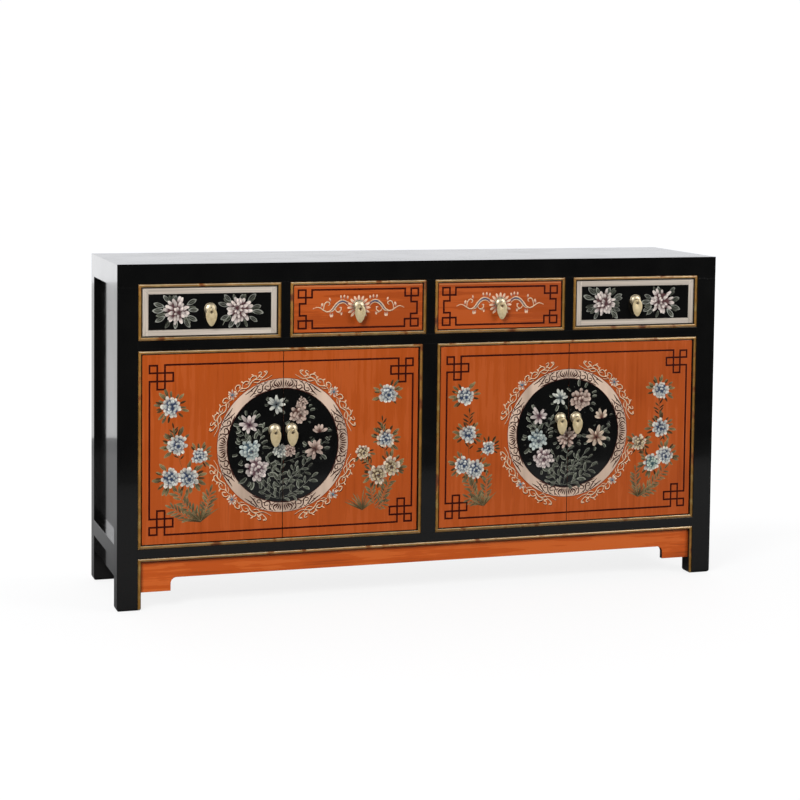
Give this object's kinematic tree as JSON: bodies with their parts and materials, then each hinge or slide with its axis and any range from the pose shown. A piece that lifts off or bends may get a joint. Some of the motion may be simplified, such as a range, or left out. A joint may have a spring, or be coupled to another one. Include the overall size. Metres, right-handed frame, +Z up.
{
  "type": "sideboard",
  "caption": "Long, low lacquered sideboard: sliding drawers over cupboard bays with flush doors hung on pins, a shelf in each bay, bracket apron and swinging drop pulls.",
  "frame": {"origin": "on the floor under the middle of the sideboard, halfway between the front of the pulls and the back", "axes": "+X to the right along the front as the viewer sees it, +Y from the front to the back, +Z up"},
  "size_m": [1.6, 0.3956, 0.85],
  "materials": {
    "black_lacquer": "gloss black lacquer",
    "orange_lacquer": "gloss orange-red lacquer",
    "bare_wood": "planed and waxed",
    "brass": "polished, slightly aged"
  },
  "bodies": {
    "carcass": {"post_front_left": "black_lacquer", "post_front_right": "black_lacquer", "post_rear_left": "black_lacquer", "post_rear_right": "black_lacquer", "top_panel": "black_lacquer", "top_rail_front": "black_lacquer", "top_rail_rear": "black_lacquer", "top_side_rails": "black_lacquer", "drawer_rail": "black_lacquer", "bottom_rail_front": "black_lacquer", "rear_rails": "bare_wood", "bottom_side_rails": "black_lacquer", "drawer_dividers": "black_lacquer", "centre_stile": "black_lacquer", "side_panels": "black_lacquer", "side_aprons": "black_lacquer", "back_panel": "black_lacquer", "apron_front": "orange_lacquer", "bottom_board": "bare_wood", "dust_board": "bare_wood", "centre_partition": "bare_wood", "shelves": "bare_wood", "shelf_battens": "bare_wood", "drawer_runners": "bare_wood"},
    "drawer_1": {"drawer_front_1": "black_lacquer", "drawer_box_1": "bare_wood", "drawer_bottom_1": "bare_wood", "drawer_pull_boss_1": "brass"},
    "drawer_2": {"drawer_front_2": "orange_lacquer", "drawer_box_2": "bare_wood", "drawer_bottom_2": "bare_wood", "drawer_pull_boss_2": "brass"},
    "drawer_3": {"drawer_front_3": "orange_lacquer", "drawer_box_3": "bare_wood", "drawer_bottom_3": "bare_wood", "drawer_pull_boss_3": "brass"},
    "drawer_4": {"drawer_front_4": "black_lacquer", "drawer_box_4": "bare_wood", "drawer_bottom_4": "bare_wood", "drawer_pull_boss_4": "brass"},
    "door_1": {"door_leaf_1": "orange_lacquer", "door_pins_1": "brass", "door_pull_boss_1": "brass"},
    "door_2": {"door_leaf_2": "orange_lacquer", "door_pins_2": "brass", "door_pull_boss_2": "brass"},
    "door_3": {"door_leaf_3": "orange_lacquer", "door_pins_3": "brass", "door_pull_boss_3": "brass"},
    "door_4": {"door_leaf_4": "orange_lacquer", "door_pins_4": "brass", "door_pull_boss_4": "brass"},
    "drawer_drop_1": {"drawer_pull_drop_1": "brass"},
    "drawer_drop_2": {"drawer_pull_drop_2": "brass"},
    "drawer_drop_3": {"drawer_pull_drop_3": "brass"},
    "drawer_drop_4": {"drawer_pull_drop_4": "brass"},
    "door_drop_1": {"door_pull_drop_1": "brass"},
    "door_drop_2": {"door_pull_drop_2": "brass"},
    "door_drop_3": {"door_pull_drop_3": "brass"},
    "door_drop_4": {"door_pull_drop_4": "brass"}
  },
  "joints": [
    {"name": "drawer_1_slide", "type": "slide", "parent": "carcass", "child": "drawer_1", "axis": [0, -1, 0], "range_m": [0, 0.24]},
    {"name": "drawer_2_slide", "type": "slide", "parent": "carcass", "child": "drawer_2", "axis": [0, -1, 0], "range_m": [0, 0.24]},
    {"name": "drawer_3_slide", "type": "slide", "parent": "carcass", "child": "drawer_3", "axis": [0, -1, 0], "range_m": [0, 0.24]},
    {"name": "drawer_4_slide", "type": "slide", "parent": "carcass", "child": "drawer_4", "axis": [0, -1, 0], "range_m": [0, 0.24]},
    {"name": "door_1_hinge", "type": "hinge", "parent": "carcass", "child": "door_1", "pos_m": [-0.7274, -0.1712, 0.395], "axis": [0, 0, -1], "range_deg": [0, 105]},
    {"name": "door_2_hinge", "type": "hinge", "parent": "carcass", "child": "door_2", "pos_m": [-0.0406, -0.1712, 0.395], "axis": [0, 0, 1], "range_deg": [0, 85]},
    {"name": "door_3_hinge", "type": "hinge", "parent": "carcass", "child": "door_3", "pos_m": [0.0406, -0.1712, 0.395], "axis": [0, 0, -1], "range_deg": [0, 85]},
    {"name": "door_4_hinge", "type": "hinge", "parent": "carcass", "child": "door_4", "pos_m": [0.7274, -0.1712, 0.395], "axis": [0, 0, 1], "range_deg": [0, 105]},
    {"name": "drawer_drop_1_hinge", "type": "hinge", "parent": "drawer_1", "child": "drawer_drop_1", "pos_m": [-0.57, -0.1912, 0.738], "axis": [-1, 0, 0], "range_deg": [-15, 60]},
    {"name": "drawer_drop_2_hinge", "type": "hinge", "parent": "drawer_2", "child": "drawer_drop_2", "pos_m": [-0.19, -0.1912, 0.738], "axis": [-1, 0, 0], "range_deg": [-15, 60]},
    {"name": "drawer_drop_3_hinge", "type": "hinge", "parent": "drawer_3", "child": "drawer_drop_3", "pos_m": [0.19, -0.1912, 0.738], "axis": [-1, 0, 0], "range_deg": [-15, 60]},
    {"name": "drawer_drop_4_hinge", "type": "hinge", "parent": "drawer_4", "child": "drawer_drop_4", "pos_m": [0.57, -0.1912, 0.738], "axis": [-1, 0, 0], "range_deg": [-15, 60]},
    {"name": "door_drop_1_hinge", "type": "hinge", "parent": "door_1", "child": "door_drop_1", "pos_m": [-0.40575, -0.1912, 0.433], "axis": [-1, 0, 0], "range_deg": [-15, 60]},
    {"name": "door_drop_2_hinge", "type": "hinge", "parent": "door_2", "child": "door_drop_2", "pos_m": [-0.36225, -0.1912, 0.433], "axis": [-1, 0, 0], "range_deg": [-15, 60]},
    {"name": "door_drop_3_hinge", "type": "hinge", "parent": "door_3", "child": "door_drop_3", "pos_m": [0.36225, -0.1912, 0.433], "axis": [-1, 0, 0], "range_deg": [-15, 60]},
    {"name": "door_drop_4_hinge", "type": "hinge", "parent": "door_4", "child": "door_drop_4", "pos_m": [0.40575, -0.1912, 0.433], "axis": [-1, 0, 0], "range_deg": [-15, 60]}
  ]
}
